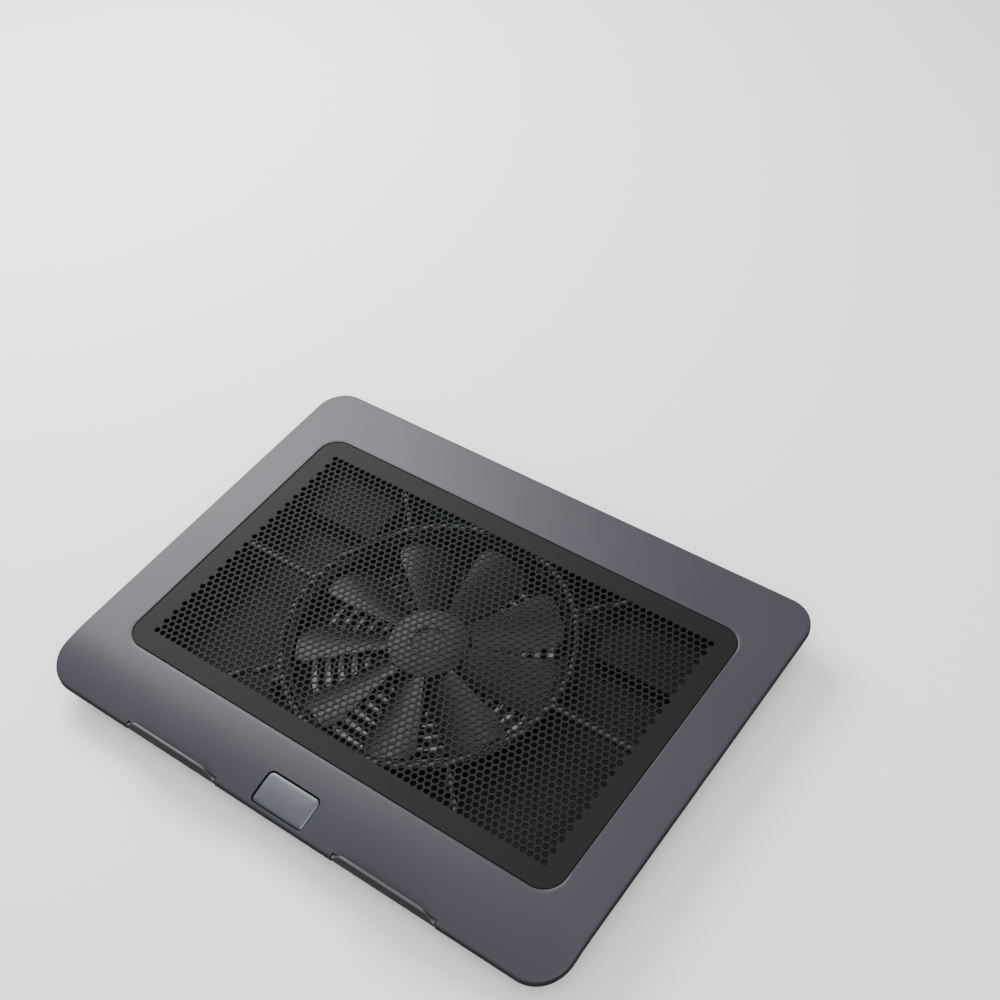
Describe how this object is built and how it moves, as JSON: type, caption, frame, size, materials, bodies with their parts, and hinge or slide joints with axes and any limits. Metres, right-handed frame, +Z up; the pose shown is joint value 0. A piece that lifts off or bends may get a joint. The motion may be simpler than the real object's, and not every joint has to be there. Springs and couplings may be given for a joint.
{
  "type": "laptop cooling pad",
  "caption": "Slim laptop cooling pad: grey wing-edged cover with a falling front strip, flip stops and plain badge, black mesh deck over one fan, fold-out rear feet.",
  "frame": {"origin": "on the desk, under the middle of the pad's outline", "axes": "+X to the user's right along the width, +Y away from the user towards the rear feet, +Z up"},
  "size_m": [0.323, 0.242, 0.0235],
  "materials": {
    "satin_grey": "smooth satin moulding",
    "black_steel_mesh": "matt powder coat",
    "badge_silver": "satin silver-grey",
    "black_plastic": "fine spark texture",
    "fan_black": "smooth semi-gloss moulding",
    "steel": "bright turned or pressed",
    "black_screw": "black oxide",
    "soft_rubber": "matt",
    "magnet_ferrite": "bonded ferrite, dull",
    "nylon": "natural nylon",
    "sintered_bronze": "sintered, oil-filled",
    "core_steel": "stacked laminations",
    "copper_wire": "enamelled copper wire",
    "board_green": "solder mask",
    "socket_black": "moulded",
    "lead_jacket": "soft insulated pair"
  },
  "bodies": {
    "case": {"top_cover": "satin_grey", "mesh_panel": "black_steel_mesh", "badge_plate": "badge_silver", "left_stopper_pin": "steel", "right_stopper_pin": "steel", "base_shell": "black_plastic", "fan_frame": "black_plastic", "bearing_sleeve": "sintered_bronze", "stator_core": "core_steel", "stator_coils": "copper_wire", "motor_board": "board_green", "front_left_pad": "soft_rubber", "front_right_pad": "soft_rubber", "rear_left_pad": "soft_rubber", "rear_right_pad": "soft_rubber", "case_screws": "black_screw", "fan_screws": "black_screw", "control_board": "board_green", "board_screws": "black_screw", "usb_shell": "steel", "usb_tongue": "socket_black", "power_inlet": "steel", "switch_body": "socket_black", "fan_lead": "lead_jacket", "lead_plug": "nylon"},
    "rotor": {"fan_impeller": "fan_black", "rotor_yoke": "steel", "rotor_magnet": "magnet_ferrite", "fan_shaft": "steel", "shaft_clip": "nylon"},
    "left_stop": {"left_stopper": "satin_grey"},
    "right_stop": {"right_stopper": "satin_grey"},
    "left_leg": {"left_foot": "black_plastic", "left_foot_tip": "soft_rubber"},
    "right_leg": {"right_foot": "black_plastic", "right_foot_tip": "soft_rubber"},
    "switch": {"switch_knob": "socket_black"}
  },
  "joints": [
    {"name": "fan_spin", "type": "hinge", "parent": "case", "child": "rotor", "pos_m": [0, 0.002, 0.012], "axis": [0, 0, 1], "continuous": true},
    {"name": "left_stop_fold", "type": "hinge", "parent": "case", "child": "left_stop", "pos_m": [-0.068, -0.1191, 0.0154], "axis": [1, 0, 0], "range_deg": [0, 180]},
    {"name": "right_stop_fold", "type": "hinge", "parent": "case", "child": "right_stop", "pos_m": [0.068, -0.1191, 0.0154], "axis": [1, 0, 0], "range_deg": [0, 180]},
    {"name": "left_leg_fold", "type": "hinge", "parent": "case", "child": "left_leg", "pos_m": [-0.1, 0.09, 0.0064], "axis": [1, 0, 0], "range_deg": [0, 100]},
    {"name": "right_leg_fold", "type": "hinge", "parent": "case", "child": "right_leg", "pos_m": [0.1, 0.09, 0.0064], "axis": [1, 0, 0], "range_deg": [0, 100]},
    {"name": "power_slide", "type": "slide", "parent": "case", "child": "switch", "axis": [1, 0, 0], "range_m": [0, 0.003]}
  ]
}
